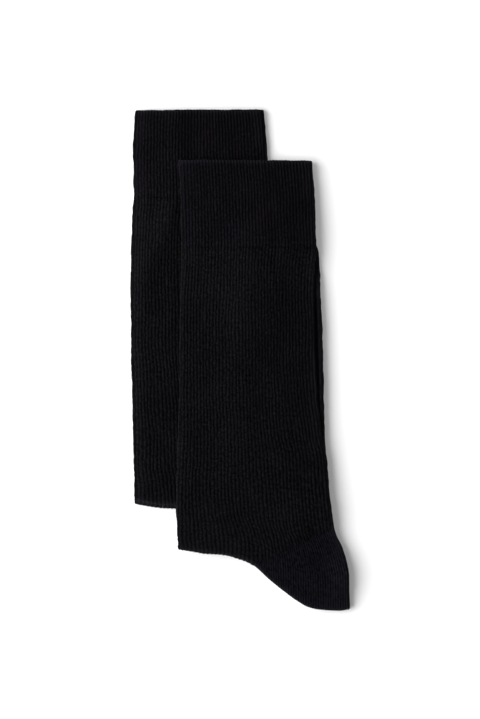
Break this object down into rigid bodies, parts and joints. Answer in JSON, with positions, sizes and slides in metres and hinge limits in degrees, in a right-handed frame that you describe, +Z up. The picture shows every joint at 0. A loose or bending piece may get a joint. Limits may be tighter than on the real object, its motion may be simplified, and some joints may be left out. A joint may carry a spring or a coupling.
{
  "type": "pair of socks",
  "caption": "Pair of near-black ribbed mid-calf dress socks laid flat, one over the other, each with its foot folded up behind the leg and the heel pocket standing out.",
  "frame": {"origin": "middle of the pair's outline on the table, under its lowest face", "axes": "+Y towards the cuffs, +X towards the heels' side, +Z up from the table towards the viewer"},
  "size_m": [0.1447, 0.3334, 0.012],
  "materials": {
    "cuff_knit": "matt, firm 1x1 rib",
    "ribbed_knit": "matt, soft 1x1 rib",
    "plain_knit": "matt, plain jersey"
  },
  "bodies": {
    "root": {"under_cuff": "cuff_knit", "under_leg": "ribbed_knit", "under_heel": "plain_knit", "under_foot": "ribbed_knit", "under_toe": "plain_knit", "upper_cuff": "cuff_knit", "upper_leg": "ribbed_knit", "upper_heel": "plain_knit", "upper_foot": "ribbed_knit", "upper_toe": "plain_knit"}
  },
  "joints": []
}
